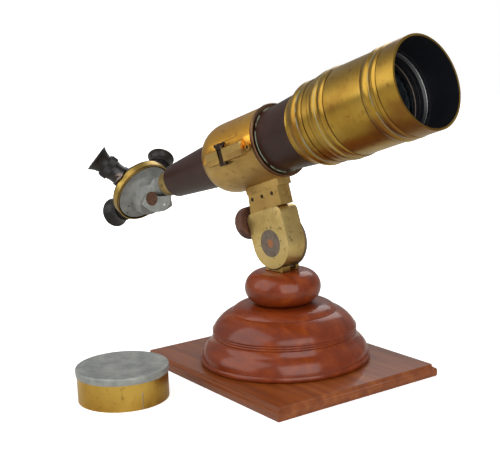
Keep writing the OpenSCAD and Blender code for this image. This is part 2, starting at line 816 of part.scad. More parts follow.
module shoe_screws() {
    y = -house_near;
    color("dimgray") in_tilt() shoe_screw_places() {
        across(shoe_screw_r, y + 0.4, shoe_screw_end);
        across(shoe_screw_r + 0.8, y + 0.4, y + 1.5);
    }
}

// the collar's turned outside: a plain barrel with a long rounded rear end
module collar_barrel() {
    end_r = tube_r(collar_x0) + liner_t + 0.8;
    rise = collar_r - end_r;
    nose = [for (i = [0:10]) [end_r + rise * sin(9 * i), collar_x0 + collar_nose * (1 - cos(9 * i))]];
    rotate_extrude() polygon(concat([[0, collar_x0]], nose, [[collar_r, collar_x1], [0, collar_x1]]));
}

// the tapered bore for the liner
module collar_bore() {
    x0 = collar_x0 - cut;
    x1 = collar_x1 + cut;
    translate([0, 0, x0]) cylinder(r1 = tube_r(x0) + liner_t, r2 = tube_r(x1) + liner_t, h = x1 - x0);
}

// a lug on the side s: a flat below and above the parting plane, blended into the barrel
module lug(s) {
    split = -split_drop;
    inner = collar_r * 0.86;
    low = split - lug_down;
    top = split + lug_up;
    outline = [[inner, low - 8], [lug_reach - 8, low - 4], [lug_reach - 7.6, low], [lug_reach, low],
        [lug_reach, top], [lug_reach - 7, top + 2], [inner + 1, top + 12]];
    mirror([0, s < 0 ? 1 : 0, 0]) translate([-lug_back, 0, 0]) rotate([90, 0, 90])
        linear_extrude(height = lug_l) polygon(outline);
}

// everything of the collar before it is parted
module collar_body() {
    boss_end = collar_r + boss_out;
    difference() {
        union() {
            rotate([0, 90, 0]) collar_barrel();
            for (s = [-1, 1]) {
                lug(s);
                translate([boss_x, 0, -split_drop]) across(boss_r, min(0, s * boss_end), max(0, s * boss_end));
            }
        }
        rotate([0, 90, 0]) collar_bore();
        for (s = [-1, 1]) bolt_place(s) {
            translate([-lug_slot / 2, s > 0 ? -bolt_r - bolt_ease : bolt_r + bolt_ease - wing_r * 3, -house_r])
                cube([lug_slot, wing_r * 3, 2 * house_r]);
            translate([0, 0, lug_up - split_drop]) cylinder(r = wing_r + 0.8, h = house_r);
            translate([0, 0, -split_drop - lug_down - house_r]) cylinder(r = wing_r + 0.4, h = house_r);
        }
    }
}

module bolt_place(s) {
    translate([lug_l * 0.42 - lug_back, s * (lug_reach - bolt_r), 0]) children();
}

module in_collar() {
    in_tilt() translate([0, -tube_off, tube_rise]) children();
}

module half_space(up) {
    big = 140;
    translate([-big, -big, up ? -split_drop : -split_drop - big]) cube([2 * big, 2 * big, big]);
}

module collar_lower() {
    ledge_x0 = shoe_lean - shoe_back - ledge_out;
    ledge_x1 = shoe_l - shoe_back + ledge_out + 3;
    color("goldenrod") difference() {
        union() {
            in_collar() intersection() {
                collar_body();
                half_space(false);
            }
            in_tilt() difference() {
                translate([ledge_x0, -house_near - ledge_out, shoe_z])
                    cube([ledge_x1 - ledge_x0, shoe_w + 2 * ledge_out, ledge_h + collar_r * 0.2]);
                translate([0, -tube_off, tube_rise]) rotate([0, 90, 0]) collar_bore();
            }
            in_tilt() tongue(tongue_w - 0.1, tongue_h - 0.2, shoe_lean - shoe_back, shoe_l - shoe_back);
        }
        in_tilt() shoe_screw_places() across(shoe_screw_r, -house_near, shoe_screw_end);
        in_collar() screw_boss_places() lock_screw(-cut);
    }
}

module collar_upper() {
    color("orange") in_collar() difference() {
        intersection() {
            collar_body();
            half_space(true);
        }
        screw_boss_places() lock_screw(-cut);
    }
}

// the small locking screws at the parting plane in front of the lugs
module screw_boss_places() {
    for (s = [-1, 1]) translate([boss_x, s * (collar_r + boss_out), -split_drop]) mirror([0, s < 0 ? 0 : 1, 0])
        children();
}

module lock_screw(y0) {
    across(lock_screw_r, y0, lock_screw_l);
}

module collar_screws() {
    color("dimgray") in_collar() screw_boss_places() lock_screw(0.4);
}

module collar_liner() {
    x0 = collar_x0 + 1;
    x1 = collar_x1 - 7;
    out = liner_t - liner_ease;
    color("tan") in_tube() cone_piece(x0, x1, tube_r(x0) + out, tube_r(x1) + out,
        tube_r(x0) + liner_ease, tube_r(x1) + liner_ease);
}

module clamp_bolts() {
    bottom = -split_drop - lug_down;
    top = lug_up - split_drop;
    color("saddlebrown") in_collar() for (s = [-1, 1]) bolt_place(s) {
        translate([0, 0, bottom - 3.5]) cylinder(r = wing_r - 1, h = 3.5);
        translate([0, 0, bottom - 1]) cylinder(r = bolt_r, h = top + wing_h + 2 - bottom);
    }
}

// round nuts with two wings
module clamp_nuts() {
    color("dimgray") in_collar() for (s = [-1, 1]) bolt_place(s) translate([0, 0, lug_up - split_drop])
        difference() {
            union() {
                cylinder(r = wing_r - 0.5, h = wing_h * 0.6);
                for (w = [-1, 1]) hull() {
                    wing_end(w * bolt_r, wing_h * 0.35, 1.6);
                    wing_end(w * (wing_r + 1), wing_h * 0.9, 2);
                }
            }
            translate([0, 0, -cut]) cylinder(r = bolt_r, h = wing_h * 2);
        }
}

module wing_end(x, z, r) {
    translate([x, 0, z]) rotate([90, 0, 0]) cylinder(r = r, h = 2.4, center = true, $fn = 32);
}

// a rolled ring on the tube against the collar's front face
module stop_ring() {
    r0 = tube_r(collar_x1);
    roll = stop_ring_l / 2;
    inner = stop_ring_r - roll;
    front_x = collar_x1 + stop_ring_l + cut;
    color("tan") in_tube() translate([0, 0, collar_x1]) difference() {
        rotate_extrude() polygon(concat([[r0 - 2, 0]], bow([inner, 0], [inner, stop_ring_l], roll, 16),
            [[r0 - 2, stop_ring_l]]));
        translate([0, 0, -cut])
            cylinder(r1 = tube_r(collar_x1 - cut), r2 = tube_r(front_x), h = front_x - collar_x1 + cut);
    }
}

module main_tube() {
    color("#3a2c2c") in_tube() cone_piece(tube_x0, tube_x1, tube_rear_r, tube_front_r,
        tube_rear_r - tube_wall, tube_front_r - tube_wall);
}

module tube_baffle() {
    x = tube_x0 + tube_l * 0.45;
    w = 3;
    color("black") in_tube() translate([0, 0, x]) difference() {
        cylinder(r1 = tube_r(x) - tube_wall, r2 = tube_r(x + w) - tube_wall, h = w);
        translate([0, 0, -cut]) cylinder(r = baffle_r, h = w + 2 * cut);
    }
}

// the casting-like ring between the tube and the barrel: a hollow curve, then a rolled double flange
module head_ring() {
    x1 = tube_x1 + neck_l;
    roll = flange_l * 0.46;
    x2 = x1 + roll;
    skin = 0.4;
    bore_r = tube_front_r - tube_wall - 2;
    color("goldenrod") in_tube() difference() {
        rotate_extrude() polygon(concat([[bore_r, tube_x1], [bore_r, tube_x1 - head_spigot_l],
            [tube_r(tube_x1 - head_spigot_l) - tube_wall, tube_x1 - head_spigot_l],
            [tube_front_r - tube_wall, tube_x1]],
            bow([tube_front_r + skin, tube_x1], [flange_r - 1.2, x1], -1.6, 8),
            bow([flange_r - 1, x1], [flange_r - 1, x2 - 0.3], 1, 8),
            bow([flange_r - 1, x2 + 0.5], [flange_r - 0.6, barrel_x0], 0.6, 8),
            [[bore_r, barrel_x0]]));
        translate([0, 0, x2]) cylinder(r = barrel_r - spigot_step, h = flange_l);
    }
}

module head_barrel() {
    color("goldenrod") in_tube() {
        tube_piece(barrel_r, cell_r, barrel_x0, barrel_x1);
        tube_piece(barrel_r - spigot_step, cell_r, barrel_x0 - flange_l * 0.54, barrel_x0 + cut);
    }
}

// the cell: a cup with a rear lip and a bright front rim
module objective_cell() {
    color("dimgray") in_tube() difference() {
        translate([0, 0, cell_x0]) cylinder(r = cell_r, h = cell_l);
        translate([0, 0, cell_x0 - cut]) cylinder(r = lens_r - cell_lip, h = cell_l);
        translate([0, 0, lens_x0]) cylinder(r = lens_r, h = cell_l);
        translate([0, 0, cell_x1 - 2]) cylinder(r1 = lens_r, r2 = cell_r - 0.6, h = 2 + 0.01);
    }
}

// the doublet: a biconvex crown in front of a flint that is hollow in front and flat behind
function sag(curve, r) = curve - sqrt(curve * curve - r * r);

// points from the axis to the radius r on a spherical face whose middle is at z
function dome_face(curve, r, z, way) = [for (i = [0:12]) [r * i / 12, z + way * sag(curve, r * i / 12)]];

inner_x = lens_x0 + flint_mid;
crown_x1 = inner_x + sag(inner_curve, lens_r) + crown_edge;

module crown_lens() {
    front = dome_face(crown_front_curve, lens_r, crown_x1 + sag(crown_front_curve, lens_r), -1);
    color("lightblue") in_tube() rotate_extrude()
        polygon(concat(dome_face(inner_curve, lens_r, inner_x, 1), [for (i = [len(front) - 1:-1:0]) front[i]]));
}

module flint_lens() {
    color("lightcyan") in_tube() rotate_extrude()
        polygon(concat([[0, lens_x0], [lens_r, lens_x0]],
            [for (i = [12:-1:0]) dome_face(inner_curve, lens_r, inner_x, 1)[i]]));
}

module lens_retainer() {
    x0 = crown_x1 + 0.25;
    color("dimgray") in_tube() tube_piece(lens_r, lens_r - 1.6, x0, x0 + retainer_l);
}

// the sunshade: a sleeve with two pairs of raised beads
module sunshade() {
    pair = 2 * shade_bead_l;
    x3 = mouth_x - mouth_l;
    x2 = x3 - pair;
    x1 = x2 - shade_mid_l;
    x0 = x1 - pair;
    lift = bead_r - shade_r;
    color("goldenrod") in_tube() difference() {
        rotate_extrude() polygon(concat([[shade_bore, shade_x0], [shade_r, shade_x0]],
            bow([shade_r, x0], [shade_r, x0 + shade_bead_l - 0.5], lift, 8),
            bow([shade_r, x1 - shade_bead_l + 0.5], [shade_r, x1], lift, 8),
            bow([shade_r, x2], [shade_r, x2 + shade_bead_l - 0.5], lift, 8),
            bow([shade_r, x3 - shade_bead_l + 0.5], [shade_r, x3], lift, 8),
            [[mouth_r, x3 + 0.2], [mouth_r, mouth_x], [shade_bore, mouth_x]]));
        translate([0, 0, shade_x0 - cut]) cylinder(r = shade_bore, h = shade_l + 2 * cut);
    }
}

// a brass cup on the tube's rear end: its end wall carries a spigot that screws into the casting
tail_in = 0.8 * ferrule_r;
pin_end_r = 0.55 * ferrule_r;
pin_end_l = 0.5 * ferrule_r;

module tail_ferrule() {
    color("goldenrod") in_tube() difference() {
        union() {
            translate([0, 0, socket_x]) cylinder(r = ferrule_r, h = ferrule_l);
            translate([0, 0, tube_x0])
                cylinder(r1 = tail_spigot_r, r2 = tube_r(tube_x0 + tail_in) - tube_wall, h = tail_in);
            translate([0, 0, socket_x - pin_end_l]) cylinder(r = pin_end_r, h = pin_end_l + cut);
        }
        translate([0, 0, socket_x + ferrule_wall])
            cylinder(r = ferrule_r - ferrule_wall, h = ferrule_l + tail_in);
        translate([0, 0, socket_x - pin_end_l - cut])
            cylinder(r = pin_end_r - ferrule_wall / 2, h = pin_end_l + ferrule_wall + 2 * cut);
    }
}

// the casting's own measures grow with the turret: one unit is 1 mm at a turret radius of 41.5 mm
cast = turret_r / 41.5;

// the cheeks' outline seen from the side, from the turret's centre: forward and up
cheek = concat([[4, 9]], bow([9, -2.6], [24, -27], 2.4, 6), bow([24, -27], [55, -24], 6, 8),
    [[59, -17], [57, -8], [45, 2], [33, 4.5]]);
// the block's plan: two leaning cheeks, the far one cut back to a nose
near_cheek = [[-60, -32], [-20, -31.5], [35, -12.2], [48, -7.6], [59, -5.2]];
far_cheek = [[57, -4.6], [40, 8.4], [30, 14], [-20, 31.5], [-60, 32]];
cheek_lean = atan((near_cheek[2][1] - near_cheek[1][1]) / (near_cheek[2][0] - near_cheek[1][0]));
hub_r = 24;
hub_t = 20;
socket_at = 33.5;
socket_r = 13;
waist_at = 41;
waist_r = 10.8;
bite_at = 39.5;
bite_r = ferrule_r + 0.8;

// a place along the tube, from the turret's centre forward
function fore(x) = turret_x + x * cast;

// the socket's outline: wide at the block, hollow at its waist, with a lip against the ferrule
function socket_outline() = concat([[waist_r, fore(12)], [socket_r - 0.4, fore(socket_at - 2)]],
    bow([socket_r, fore(socket_at)], [waist_r, fore(waist_at)], -1 * cast, 6),
    bow([waist_r, fore(waist_at) + 1], [ferrule_r + 0.6, socket_x], -2 * cast, 8));

// the bite that clears the block away round the socket
function bite_outline() = [[0, fore(socket_at - 3)], [socket_r, fore(socket_at)], [bite_r, fore(bite_at)],
    [bite_r, tube_x0], [0, tube_x0]];

module casting_solid() {
    difference() {
        in_tilt() translate([turret_x, -tube_off, tube_rise]) scale(cast) intersection() {
            translate([0, 40, 0]) rotate([90, 0, 0]) linear_extrude(height = 80) polygon(cheek);
            translate([0, 0, -50]) linear_extrude(height = 100) polygon(concat(near_cheek, far_cheek));
            // the far side rises like a keel
            translate([-60, -5, -31.5]) rotate([34.7, 0, 0]) translate([0, -60, 0]) cube([130, 120, 100]);
        }
        in_tube() rotate_extrude() polygon(bite_outline());
    }
    in_turret() {
        translate([0, 0, 1]) cylinder(r = disc_r_in, h = disc_t);
        mirror([0, 0, 1]) scale(cast) rotate_extrude() polygon(concat([[0, -1 - cut], [hub_r + 8, -1 - cut]],
            bow([hub_r + 8, -1], [hub_r, 7], -2.2, 8), bow([hub_r, 7], [hub_r - 3, hub_t], 0.6, 4),
            [[0, hub_t]]));
    }
    in_tube() rotate_extrude() polygon(concat([[0, fore(12)]], socket_outline(), [[0, socket_x]]));
}

// half the space, on the tube's side of the turret's front plane
module ahead_of_disc() {
    big = 200;
    in_turret() translate([-big / 2, -big / 2, disc_top - big - 0.01]) cube([big, big, big]);
}

plug_r = 9 * cast;
plug_deep = 2.5 * cast;
plug_t = 2 * cast;
plug_at = [30, 12.7];

// the plug's place on the near cheek: z points out of the cheek
module plug_place() {
    x = plug_at[0];
    y = near_cheek[2][1] - (near_cheek[2][0] - x) * tan(cheek_lean);
    in_tilt() translate([turret_x + x * cast, -tube_off + y * cast, tube_rise - plug_at[1] * cast])
        rotate([90, 0, cheek_lean]) children();
}

prism_bore = prism_w / 2 - 1;

module prism_casting() {
    color("gray") difference() {
        intersection() {
            casting_solid();
            ahead_of_disc();
        }
        in_tube() translate([0, 0, socket_x - pin_end_l]) cylinder(r = pin_end_r, h = pin_end_l + ferrule_l);
        in_tube() translate([0, 0, turret_x + 30 * cast]) cylinder(r = prism_bore, h = 30 * cast);
        in_turret() translate([0, 0, -cut]) cylinder(r = pivot_r, h = 20 * cast);
        in_turret() translate([0, 0, -cross_depth]) rotate([0, 0, 180]) rotate([0, turret_tilt, 0])
            translate([0, 0, -14 * cast]) cylinder(r = prism_bore, h = 60 * cast);
        prism_place() prism_block(0);
        plug_place() translate([0, 0, -plug_deep]) cylinder(r = plug_r, h = 12 * cast);
    }
}

// the block of glass that turns the image upright
module prism_block(gap) {
    w = prism_w + 0.2 - 2 * gap;
    x0 = 22 * cast + gap;
    x1 = 36 * cast - gap;
    z0 = -20 * cast + gap;
    z1 = 3 * cast - gap;
    translate([0, w / 2, 0]) rotate([90, 0, 0]) linear_extrude(height = w)
        polygon([[x0, z1], [x1, z1], [x1, z0 + 6 * cast], [x1 - 6 * cast, z0], [x0, z0]]);
}

module prism_place() {
    in_tilt() translate([turret_x, -tube_off, tube_rise]) children();
}

module erecting_prism() {
    color("lightcyan") prism_place() prism_block(0.1);
}

module casting_plug() {
    color("saddlebrown") plug_place() translate([0, 0, -plug_deep]) cylinder(r = plug_r, h = plug_t);
}

// a stud in the casting's disc, with a wide slotted head behind the shell
module turret_pivot() {
    head_t = 3.5;
    color("silver") in_turret() difference() {
        union() {
            cylinder(r = pivot_r, h = shell_top + 0.3);
            translate([0, 0, shell_top + 0.1]) cylinder(r = pivot_head_r, h = head_t);
        }
        translate([-pivot_head_r * 2, -0.8, shell_top + head_t - 1]) cube([pivot_head_r * 4, 1.6, 3]);
    }
}

module turret_band() {
    color("goldenrod") in_turret() difference() {
        rotate_extrude() polygon(concat([[turret_r - turret_wall, 0]],
            bow([turret_r - 0.8, 0], [turret_r, 1.2], 0.3, 4),
            bow([turret_r, turret_band_l - 1.2], [turret_r - 0.8, turret_band_l], 0.3, 4),
            [[turret_r - turret_wall, turret_band_l]]));
        translate([0, 0, -cut]) cylinder(r = turret_r - turret_wall, h = turret_band_l + 2 * cut);
    }
}

// the conical shell behind the band, with a deep boss on the pivot and a seat for each eyepiece
module turret_shell() {
    flange_in = turret_r - turret_wall - 3;
    wall_t = shell_wall / sin(turret_tilt);
    apex = turret_band_l + turret_r;
    boss_r = pivot_r + 4.5;
    color("#2b2726") difference() {
        union() {
            in_turret() difference() {
                rotate_extrude() polygon([[pivot_r, disc_top + 0.1], [boss_r, disc_top + 0.1],
                    [boss_r, shell_top - 4], [apex - wall_t - shell_top + 4, shell_top - 4],
                    [flange_in, apex - wall_t - flange_in], [flange_in, turret_band_l - 4],
                    [turret_r - turret_wall, turret_band_l - 4], [turret_r - turret_wall, turret_band_l],
                    [turret_r - 0.8, turret_band_l], [turret_r - 0.8, turret_band_l + 0.8],
                    [apex - shell_top, shell_top], [pivot_r, shell_top]]);
                translate([0, 0, -cut]) cylinder(r = pivot_r + run_gap, h = shell_top + 3 * cut);
            }
            intersection() {
                for (k = [0:2]) in_eyepiece(k) translate([0, 0, -3]) cylinder(r = neck_r + 1.5, h = 3);
                in_turret() translate([0, 0, turret_band_l + 0.3]) cylinder(r = turret_r - 0.8, h = shell_top);
            }
        }
        for (k = [0:2]) in_eyepiece(k) translate([0, 0, -12]) cylinder(r = spigot_r, h = 20);
    }
}

// a flanged barrel: spigot, flange, neck and the sleeve for the focusing ring
module eyepiece_barrel(k) {
    flange_t = 2;
    ring_z = eye_h[k] - cup_l[k] - 2 - ring_l[k];
    sleeve_top = eye_h[k] - cup_l[k] - 2.3;
    color("#1d1b1c") in_eyepiece(k) difference() {
        union() {
            translate([0, 0, -7]) cylinder(r = spigot_r, h = 8);
            cylinder(r = neck_r + 1.2, h = flange_t);
            cylinder(r = neck_r, h = ring_z - 0.2);
            cylinder(r = sleeve_r, h = sleeve_top);
        }
        translate([0, 0, -8]) cylinder(r = eye_lens_r + 1.5, h = eye_h[k] + 8);
        translate([0, 0, -8]) cylinder(r = eye_lens_r + 2.5, h = 6);
    }
}

// a knurled, slightly tapered ring that turns on the sleeve
module focus_ring(k) {
    ring_z = eye_h[k] - cup_l[k] - 2 - ring_l[k];
    color("#242122") in_eyepiece(k) translate([0, 0, ring_z]) difference() {
        union() {
            cylinder(r1 = neck_r + 0.5, r2 = ring_r - 0.8, h = ring_l[k]);
            translate([0, 0, ring_l[k] * 0.25]) knurl(ring_r, 0.5, 40, ring_l[k] * 0.6);
        }
        translate([0, 0, -cut]) cylinder(r = sleeve_r + run_gap, h = ring_l[k] + 2 * cut);
    }
}

// a flared cup with a dished face; its foot is screwed into the focusing ring
module eyecup(k) {
    z0 = eye_h[k] - cup_l[k] - 2;
    foot = neck_r - 0.2;
    color("#1a1817") in_eyepiece(k) difference() {
        rotate_extrude() polygon(concat([[eye_lens_r, z0], [foot, z0], [foot, z0 + 2]],
            bow([foot + 0.5, z0 + 2], [cup_r[k], eye_h[k] - 1.2], -0.8, 8),
            [[cup_r[k] - 0.6, eye_h[k]], [cup_r[k] - 2, eye_h[k]]],
            bow([cup_r[k] - 2.4, eye_h[k] - 0.4], [eye_lens_r + 1, z0 + 4], -1.5, 8),
            [[eye_lens_r, z0 + 4]]));
        translate([0, 0, z0 - cut]) cylinder(r = eye_lens_r, h = 10);
    }
}

module eye_lens(k) {
    z0 = eye_h[k] - cup_l[k] - 2;
    color("lightblue") in_eyepiece(k) intersection() {
        translate([0, 0, z0]) cylinder(r = eye_lens_r, h = 4);
        translate([0, 0, z0 + 3.8 - 16]) sphere(r = 16);
    }
}

module field_lenses() {
    color("lightblue") for (k = [0:2]) in_eyepiece(k) intersection() {
        translate([0, 0, -6.5]) cylinder(r = eye_lens_r + 2.5, h = 4);
        translate([0, 0, -6.5 + 20]) sphere(r = 20);
    }
}

module long_eyepiece_barrel() {
    eyepiece_barrel(0);
}

module short_eyepiece_barrel() {
    eyepiece_barrel(1);
}

module main_eyepiece_barrel() {
    eyepiece_barrel(2);
}

module long_focus_ring() {
    focus_ring(0);
}

module short_focus_ring() {
    focus_ring(1);
}

module main_focus_ring() {
    focus_ring(2);
}

module long_eyecup() {
    eyecup(0);
}

module short_eyecup() {
    eyecup(1);
}

module main_eyecup() {
    eyecup(2);
}

module long_eye_lens() {
    eye_lens(0);
}

module short_eye_lens() {
    eye_lens(1);
}

module main_eye_lens() {
    eye_lens(2);
}

// the lid: a disc with a raised rim and a step at its edge
module cap_lid() {
    flat_r = lid_r * 0.87;
    skirt_r = mouth_r + cap_fit + skirt_wall;
    color("silver") translate([cap_x, cap_y, cap_h - lid_h]) difference() {
        rotate_extrude() polygon(concat([[0, 0]], bow([lid_r - 0.4, 0], [lid_r, lid_h - 1.5], 0.2, 4),
            bow([lid_r, lid_h - 1.5], [lid_r - 1.5, lid_h], 0.4, 6),
            [[flat_r, lid_h], [flat_r - 0.8, lid_h - 0.7], [0, lid_h - 0.7]]));
        translate([0, 0, -cut]) cylinder(r = skirt_r, h = lid_h - 3 + cut);
    }
}

module cap_skirt() {
    ri = mouth_r + cap_fit;
    ro = ri + skirt_wall;
    color("goldenrod") translate([cap_x, cap_y, 0]) difference() {
        tube_piece(ro, ri, 0, cap_h - 3);
        rotate([0, 0, -3.5]) {
            translate([ri - cut, -0.3, -cut]) cube([4, 0.6, slit_l + cut]);
            translate([ri - cut, 0, slit_l]) rotate([0, 90, 0]) cylinder(r = 0.9, h = 4);
        }
    }
}

base_plate();
pedestal();
bun();
azimuth_bush();
stand_screws();
foot_block();
head_stem();
spindle_washer();
spindle_nut();
worm_wheel();
wheel_screws();
elevation_axle();
worm_housing();
bearing_disc();
end_plate();
end_plate_screws();
worm_bush_rear();
worm_bush_front();
shoe();
shoe_screws();
collar_lower();
collar_upper();
collar_liner();
collar_screws();
clamp_bolts();
clamp_nuts();
stop_ring();
main_tube();
tube_baffle();
head_ring();
head_barrel();
objective_cell();
crown_lens();
flint_lens();
lens_retainer();
tail_ferrule();
prism_casting();
casting_plug();
erecting_prism();
turret_pivot();
worm();
elevation_knob();
sunshade();
turret_band();
turret_shell();
field_lenses();
long_eyepiece_barrel();
long_focus_ring();
long_eyecup();
short_eyepiece_barrel();
short_focus_ring();
short_eyecup();
main_eyepiece_barrel();
main_focus_ring();
main_eyecup();
long_eye_lens();
short_eye_lens();
main_eye_lens();
cap_lid();
cap_skirt();
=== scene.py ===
import json
import math

import bpy
from mathutils import Matrix, Vector


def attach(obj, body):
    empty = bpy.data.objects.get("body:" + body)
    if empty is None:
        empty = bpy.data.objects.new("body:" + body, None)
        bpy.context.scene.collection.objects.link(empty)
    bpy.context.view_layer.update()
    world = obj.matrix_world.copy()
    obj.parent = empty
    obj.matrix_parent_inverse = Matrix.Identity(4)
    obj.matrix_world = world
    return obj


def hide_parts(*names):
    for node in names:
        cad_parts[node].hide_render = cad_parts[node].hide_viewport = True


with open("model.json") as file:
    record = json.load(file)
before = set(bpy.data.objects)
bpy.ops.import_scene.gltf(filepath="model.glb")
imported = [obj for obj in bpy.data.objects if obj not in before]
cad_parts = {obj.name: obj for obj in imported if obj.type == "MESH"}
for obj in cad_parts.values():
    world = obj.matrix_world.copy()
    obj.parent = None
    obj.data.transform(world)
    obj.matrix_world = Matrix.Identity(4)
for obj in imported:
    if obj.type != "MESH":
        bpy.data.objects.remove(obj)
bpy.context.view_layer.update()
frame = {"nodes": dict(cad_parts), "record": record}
NODES = frame["nodes"]
MM = 0.001

# The instrument's own directions, from the part's joints: along the tube, across it and up from it.
ALONG = Vector((0.94659, 0.12462, 0.29737))
ACROSS = Vector((-0.13053, 0.99144, 0.0))
RISE = ALONG.cross(ACROSS)
# The elevation axis, and the middle of the tube's mouth by its millimetres from there.
AXIS = Vector((-3.7675, -0.496, 148.183)) * MM
MOUTH_AHEAD = 259.84
TUBE_SIDE = -4.3
TUBE_UP = 107.383
# The turret's pivot: a point on it and its direction, away from the casting.
PIVOT = Vector((-0.2451989, -0.0366182, 0.1846314))
PIVOT_UP = Vector((-0.87781896, -0.11556706, 0.46484205))


def tilt(x, y, z):
    """A point by its millimetres along, across and up from the elevation axis."""
    return AXIS + (x * ALONG + y * ACROSS + z * RISE) * MM


MOUTH = tilt(MOUTH_AHEAD, TUBE_SIDE, TUBE_UP)


def tube(s, y, z):
    """A point by its millimetres behind the mouth (negative), across and up from the tube's axis."""
    return MOUTH + (s * ALONG + y * ACROSS + z * RISE) * MM


# Materials

def colour(code):
    """Linear colour of an sRGB hex value."""
    parts = [int(code[i:i + 2], 16) / 255 for i in (1, 3, 5)]
    return [p / 12.92 if p <= 0.04045 else ((p + 0.055) / 1.055) ** 2.4 for p in parts] + [1.0]


def grain(size):
    """The scale of a pattern whose grains are so many millimetres across."""
    return 1.0 / (size * MM)


def add(tree, kind, out=0, stops=(), **given):
    """Adds a node and gives back one of its outputs. A name in small letters is a setting. A capital name or a
    number such as i0 is a socket, which takes a value or another node's output. Stops are (place, hex) marks
    of a colour ramp."""
    node = tree.nodes.new("ShaderNode" + kind)
    for key, value in given.items():
        numbered = key[0] == "i" and key[1:].isdigit()
        if key.islower() and not numbered:
            setattr(node, key, value)
            continue
        socket = node.inputs[int(key[1:]) if numbered else key.replace("_", " ")]
        if isinstance(value, bpy.types.NodeSocket):
            tree.links.new(value, socket)
        else:
            socket.default_value = value
    if stops:
        marks = node.color_ramp.elements
        while len(marks) < len(stops):
            marks.new(0.5)
        for mark, (place, code) in zip(marks, stops):
            mark.position = place
            mark.color = colour(code)
    return node.outputs[out]


def start(name):
    """A new material: its tree, its Principled shader and the object's coordinates in metres."""
    made = bpy.data.materials.new(name)
    made.use_nodes = True
    tree = made.node_tree
    return made, tree, tree.nodes["Principled BSDF"], add(tree, "TexCoord", "Object")


def along(tree, place, point, direction):
    """Millimetres along an axis and out from it, and the direction straight out."""
    away = add(tree, "VectorMath", operation="SUBTRACT", i0=place, i1=point)
    deep = add(tree, "VectorMath", "Value", operation="DOT_PRODUCT", i0=away, i1=direction)
    back = add(tree, "VectorMath", operation="SCALE", i0=direction, Scale=deep)
    side = add(tree, "VectorMath", operation="SUBTRACT", i0=away, i1=back)
    far = add(tree, "VectorMath", "Value", operation="LENGTH", i0=side)
    straight = add(tree, "VectorMath", operation="NORMALIZE", i0=side)
    return (add(tree, "Math", operation="DIVIDE", i0=deep, i1=MM),
            add(tree, "Math", operation="DIVIDE", i0=far, i1=MM), straight)


def lines(tree, value, marks):
    """1 on each line given as (place, half width), 0 elsewhere, with soft edges."""
    total = 0.0
    for at, half in marks:
        off = add(tree, "Math", operation="SUBTRACT", i0=value, i1=at)
        gap = add(tree, "Math", operation="ABSOLUTE", i0=off)
        line = add(tree, "MapRange", Value=gap, From_Min=half * 1.4, From_Max=half * 0.6)
        total = add(tree, "Math", operation="MAXIMUM", i0=total, i1=line)
    return total


# Dirt in a turned groove, also painted shade along the turret band's edges, green tarnish at a joint, and the
# black wash on the inside of the tubes
GROOVE = "#3d1a10"
TARNISH = "#86917c"
WASH = "#13141a"


